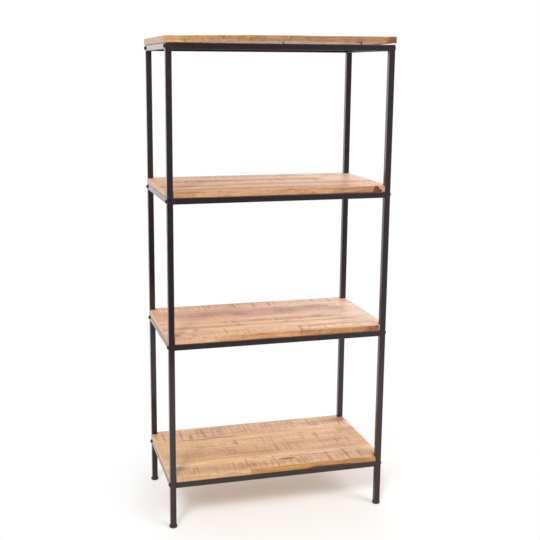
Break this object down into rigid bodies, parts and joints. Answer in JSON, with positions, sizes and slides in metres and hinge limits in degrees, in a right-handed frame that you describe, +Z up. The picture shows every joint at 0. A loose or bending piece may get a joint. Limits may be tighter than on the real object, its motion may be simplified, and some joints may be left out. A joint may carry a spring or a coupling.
{
  "type": "shelving unit",
  "caption": "Open free-standing shelving unit: a bolted black square steel tube frame carries solid wood boards, the lower ones notched round the uprights, on screw-adjusted round feet.",
  "frame": {"origin": "on the floor, under the middle of the unit's bounding box", "axes": "+Z up, +X to the right of someone facing the unit, -Y out of its front; the rails and the boards' length run along X"},
  "size_m": [0.7688, 0.416, 1.636],
  "materials": {
    "powder_coated_steel": "satin black powder coat on square steel tube",
    "oiled_mango_wood": "oiled solid mango wood with visible saw marks",
    "black_bolt_steel": "black-coated button-head bolts",
    "zinc_plated_steel": "bright zinc plating on turned steel",
    "black_nylon": "moulded black nylon"
  },
  "bodies": {
    "frame": {"front_left_upright": "powder_coated_steel", "front_right_upright": "powder_coated_steel", "back_left_upright": "powder_coated_steel", "back_right_upright": "powder_coated_steel", "bottom_left_side_rail": "powder_coated_steel", "bottom_right_side_rail": "powder_coated_steel", "lower_left_side_rail": "powder_coated_steel", "lower_right_side_rail": "powder_coated_steel", "upper_left_side_rail": "powder_coated_steel", "upper_right_side_rail": "powder_coated_steel", "top_left_side_rail": "powder_coated_steel", "top_right_side_rail": "powder_coated_steel", "bottom_front_rail": "powder_coated_steel", "bottom_back_rail": "powder_coated_steel", "lower_front_rail": "powder_coated_steel", "lower_back_rail": "powder_coated_steel", "upper_front_rail": "powder_coated_steel", "upper_back_rail": "powder_coated_steel", "top_front_rail": "powder_coated_steel", "top_back_rail": "powder_coated_steel", "bottom_board": "oiled_mango_wood", "lower_board": "oiled_mango_wood", "upper_board": "oiled_mango_wood", "top_board": "oiled_mango_wood", "bottom_frame_bolts": "black_bolt_steel", "bottom_nut_blocks": "zinc_plated_steel", "bottom_board_screws": "zinc_plated_steel", "lower_frame_bolts": "black_bolt_steel", "lower_nut_blocks": "zinc_plated_steel", "lower_board_screws": "zinc_plated_steel", "upper_frame_bolts": "black_bolt_steel", "upper_nut_blocks": "zinc_plated_steel", "upper_board_screws": "zinc_plated_steel", "top_frame_bolts": "black_bolt_steel", "top_nut_blocks": "zinc_plated_steel", "top_board_screws": "zinc_plated_steel", "front_left_foot_insert": "black_nylon", "front_right_foot_insert": "black_nylon", "back_left_foot_insert": "black_nylon", "back_right_foot_insert": "black_nylon"},
    "front_left_stud": {"front_left_levelling_stud": "zinc_plated_steel"},
    "front_left_disc": {"front_left_foot_disc": "black_nylon"},
    "front_right_stud": {"front_right_levelling_stud": "zinc_plated_steel"},
    "front_right_disc": {"front_right_foot_disc": "black_nylon"},
    "back_left_stud": {"back_left_levelling_stud": "zinc_plated_steel"},
    "back_left_disc": {"back_left_foot_disc": "black_nylon"},
    "back_right_stud": {"back_right_levelling_stud": "zinc_plated_steel"},
    "back_right_disc": {"back_right_foot_disc": "black_nylon"}
  },
  "joints": [
    {"name": "front_left_foot_travel", "type": "slide", "parent": "frame", "child": "front_left_stud", "axis": [0, 0, -1], "range_m": [0, 0.0101]},
    {"name": "front_left_foot_turn", "type": "hinge", "parent": "front_left_stud", "child": "front_left_disc", "pos_m": [-0.37, -0.194, 0], "axis": [0, 0, 1], "range_deg": [0, 2880]},
    {"name": "front_right_foot_travel", "type": "slide", "parent": "frame", "child": "front_right_stud", "axis": [0, 0, -1], "range_m": [0, 0.0101]},
    {"name": "front_right_foot_turn", "type": "hinge", "parent": "front_right_stud", "child": "front_right_disc", "pos_m": [0.37, -0.194, 0], "axis": [0, 0, 1], "range_deg": [0, 2880]},
    {"name": "back_left_foot_travel", "type": "slide", "parent": "frame", "child": "back_left_stud", "axis": [0, 0, -1], "range_m": [0, 0.0101]},
    {"name": "back_left_foot_turn", "type": "hinge", "parent": "back_left_stud", "child": "back_left_disc", "pos_m": [-0.37, 0.194, 0], "axis": [0, 0, 1], "range_deg": [0, 2880]},
    {"name": "back_right_foot_travel", "type": "slide", "parent": "frame", "child": "back_right_stud", "axis": [0, 0, -1], "range_m": [0, 0.0101]},
    {"name": "back_right_foot_turn", "type": "hinge", "parent": "back_right_stud", "child": "back_right_disc", "pos_m": [0.37, 0.194, 0], "axis": [0, 0, 1], "range_deg": [0, 2880]}
  ],
  "couplings": [
    {"joint": "front_left_foot_travel", "follows": "front_left_foot_turn", "m_per_rad": 0.00019894},
    {"joint": "front_right_foot_travel", "follows": "front_right_foot_turn", "m_per_rad": 0.00019894},
    {"joint": "back_left_foot_travel", "follows": "back_left_foot_turn", "m_per_rad": 0.00019894},
    {"joint": "back_right_foot_travel", "follows": "back_right_foot_turn", "m_per_rad": 0.00019894}
  ]
}
